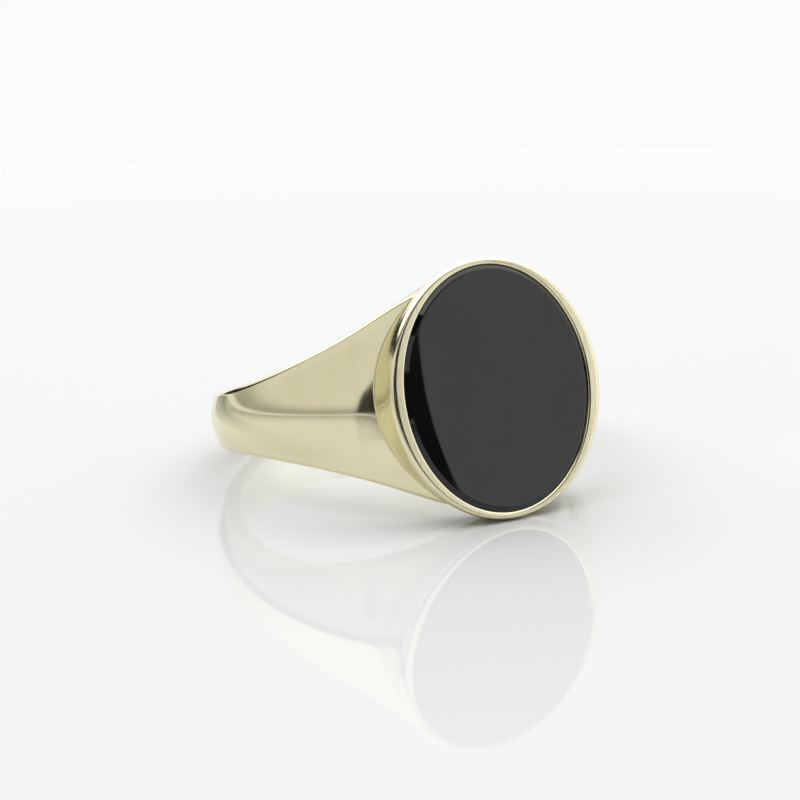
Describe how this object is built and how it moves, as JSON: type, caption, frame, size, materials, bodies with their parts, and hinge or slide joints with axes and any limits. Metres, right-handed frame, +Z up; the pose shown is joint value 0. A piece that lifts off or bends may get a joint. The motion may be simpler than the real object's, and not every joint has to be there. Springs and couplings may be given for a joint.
{
  "type": "signet ring",
  "caption": "Oval signet ring: domed shank widening to flared shoulders, oval head and a flat black onyx held in a thin rubbed-over wall.",
  "frame": {"origin": "on the table, under the middle of the ring's box as it lies on its side", "axes": "+Z up from the table, -Y the side that the stone faces, leaning upwards by 14.5 degrees, X across the hand; the finger's axis leans from +Z towards +Y by the same 14.5 degrees"},
  "size_m": [0.0192, 0.0208, 0.0123],
  "materials": {
    "gold": "polished",
    "solder": "polished",
    "cement": "matte",
    "onyx": "polished"
  },
  "bodies": {
    "root": {"shank": "gold", "shoulder_solder_left": "solder", "shoulder_solder_right": "solder", "head_block": "gold", "bezel_strip": "gold", "bearing_wire": "gold", "cement_bed": "cement", "onyx": "onyx"}
  },
  "joints": []
}
